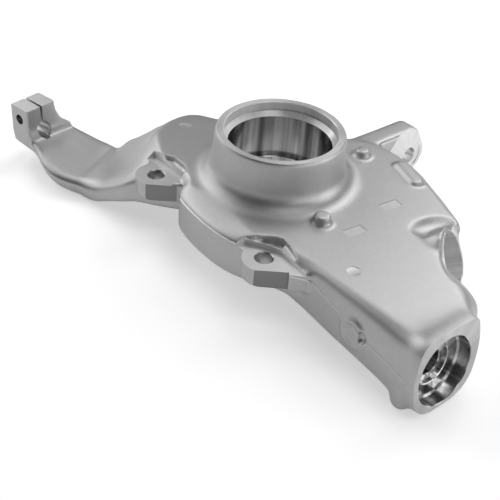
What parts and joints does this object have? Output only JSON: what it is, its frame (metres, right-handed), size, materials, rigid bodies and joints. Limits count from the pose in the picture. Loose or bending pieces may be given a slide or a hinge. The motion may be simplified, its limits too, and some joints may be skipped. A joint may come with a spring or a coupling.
{
  "type": "steering knuckle",
  "caption": "Cast aluminium steering knuckle with a wheel bearing collar, caliper ears, an arched upper arm with a slit clamp, a tie rod lug and a leg with ball joint bores.",
  "frame": {"origin": "centre of the wheel bearing collar's mouth, on the axis of the bearing bore", "axes": "+Z along the bearing bore out of the collar's mouth (outboard), +X towards the lower ball joint (down on the car), +Y towards the tie rod lug"},
  "size_m": [0.4992, 0.3205, 0.1101],
  "materials": {
    "cast_aluminium": "satin, as cast, with bright machined faces and bores"
  },
  "bodies": {
    "root": {"knuckle": "cast_aluminium"}
  },
  "joints": []
}
